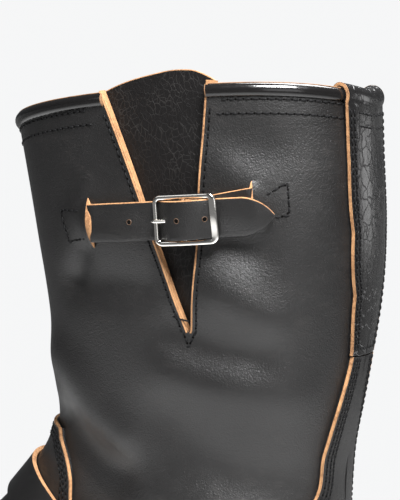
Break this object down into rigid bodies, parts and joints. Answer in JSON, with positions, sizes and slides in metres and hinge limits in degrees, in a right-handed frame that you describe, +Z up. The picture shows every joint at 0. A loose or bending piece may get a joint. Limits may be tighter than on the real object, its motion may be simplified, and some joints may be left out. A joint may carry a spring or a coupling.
{
  "type": "engineer boot",
  "caption": "Left tall pull-on leather work boot with a stacked heel, an open collar with a V notch over a gusset, and buckled straps at the collar and the instep.",
  "frame": {"origin": "on the floor under the middle of the boot's bounding box", "axes": "+Z up, -X toward the toe, -Y toward the outer (lateral) side, where both buckles are"},
  "size_m": [0.3052, 0.1101, 0.2915],
  "materials": {
    "sole_rubber": "matte, scuffed",
    "sole_leather": "dyed and waxed edge",
    "welt_leather": "satin",
    "insole_leather": "matte",
    "upper_leather": "fine pebble grain, soft sheen",
    "strap_leather": "fine grain, soft sheen",
    "glazed_leather": "glossy, crackled grain",
    "buckle_metal": "polished nickel"
  },
  "bodies": {
    "root": {"outsole": "sole_rubber", "heel_top_lift": "sole_rubber", "midsole": "sole_leather", "heel_stack": "sole_leather", "welt": "welt_leather", "insole": "insole_leather", "upper": "upper_leather", "vamp": "upper_leather", "counter": "upper_leather", "top_strap": "strap_leather", "top_chape": "strap_leather", "instep_strap": "strap_leather", "instep_chape": "strap_leather", "backstay": "glazed_leather", "gusset": "glazed_leather", "collar_binding": "glazed_leather", "top_buckle": "buckle_metal", "top_prong": "buckle_metal", "instep_buckle": "buckle_metal", "instep_prong": "buckle_metal"}
  },
  "joints": []
}
